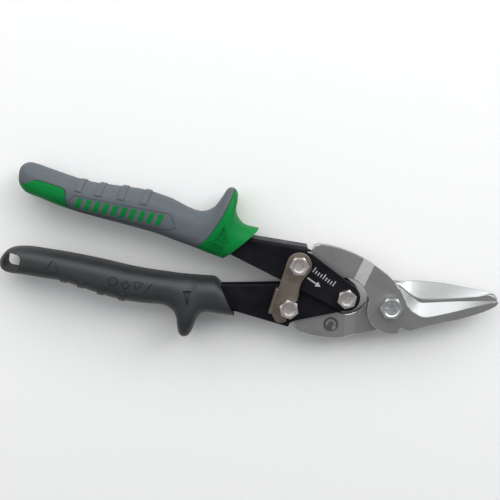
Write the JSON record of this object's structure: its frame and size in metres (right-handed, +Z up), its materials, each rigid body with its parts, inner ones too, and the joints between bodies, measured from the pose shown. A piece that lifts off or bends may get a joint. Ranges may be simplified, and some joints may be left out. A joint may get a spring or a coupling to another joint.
{
  "type": "aviation snips",
  "caption": "Compound-action sheet metal snips for right-hand curves, with pressed steel handles, a hook latch, a return spring, green and grey upper grip and charcoal lower grip.",
  "frame": {"origin": "bottom centre of the bounding box, with the tool lying flat on its nuts and grips, jaws shut", "axes": "+X along the linkage's axis of symmetry to the nose, +Y towards the upper handle, +Z up from the surface it lies on"},
  "size_m": [0.2532, 0.0808, 0.027],
  "materials": {
    "blade_steel": "satin ground forged steel",
    "black_steel": "satin black coated pressed steel",
    "zinc": "zinc plated bolt heads and nuts",
    "bright_steel": "plain hardened steel",
    "latch_steel": "yellowed zinc plated sheet",
    "spring_steel": "drawn spring wire",
    "grey_rubber": "matte soft overmould",
    "green_rubber": "satin green overmould",
    "charcoal": "satin charcoal overmould"
  },
  "bodies": {
    "lower_handle": {"lower_handle_channel": "black_steel", "lower_grip": "charcoal", "lower_tang_bolt": "zinc", "lower_tang_nut": "zinc", "lower_tang_collar": "zinc", "handle_pivot_bolt": "zinc", "handle_pivot_nut": "zinc", "handle_pivot_bush": "bright_steel", "return_spring": "spring_steel"},
    "upper_handle": {"upper_handle_channel": "black_steel", "upper_grip": "grey_rubber", "upper_grip_guard": "green_rubber", "upper_grip_tail_insert": "green_rubber", "upper_tang_bolt": "zinc", "upper_tang_nut": "zinc", "upper_tang_spacer_top": "bright_steel", "upper_tang_spacer_underside": "bright_steel", "latch_wave_washer": "bright_steel"},
    "back_blade": {"back_blade": "blade_steel", "main_pivot_bolt": "bright_steel", "main_pivot_washer": "bright_steel", "main_pivot_nut": "bright_steel"},
    "front_blade": {"front_blade": "blade_steel"},
    "latch": {"latch": "latch_steel"}
  },
  "joints": [
    {"name": "handle_open", "type": "hinge", "parent": "lower_handle", "child": "upper_handle", "pos_m": [0.04953, -0.00061, 0.01187], "axis": [0, 0, -1], "range_deg": [0, 38], "deforming": ["return_spring"]},
    {"name": "lower_tang_turn", "type": "hinge", "parent": "lower_handle", "child": "back_blade", "pos_m": [0.02196, -0.01193, 0.01187], "axis": [0, 0, -1], "range_deg": [0, 9.5]},
    {"name": "jaw_open", "type": "hinge", "parent": "back_blade", "child": "front_blade", "pos_m": [0.07302, -0.00061, 0.01187], "axis": [0, 0, -1], "range_deg": [0, 19.6]},
    {"name": "latch_swing", "type": "hinge", "parent": "upper_handle", "child": "latch", "pos_m": [0.02196, 0.01071, 0.01187], "axis": [0, 0, -1], "range_deg": [-4, 25]}
  ],
  "couplings": [
    {"joint": "lower_tang_turn", "follows": "handle_open", "ratio": 0.244},
    {"joint": "jaw_open", "follows": "handle_open", "ratio": 0.512}
  ]
}
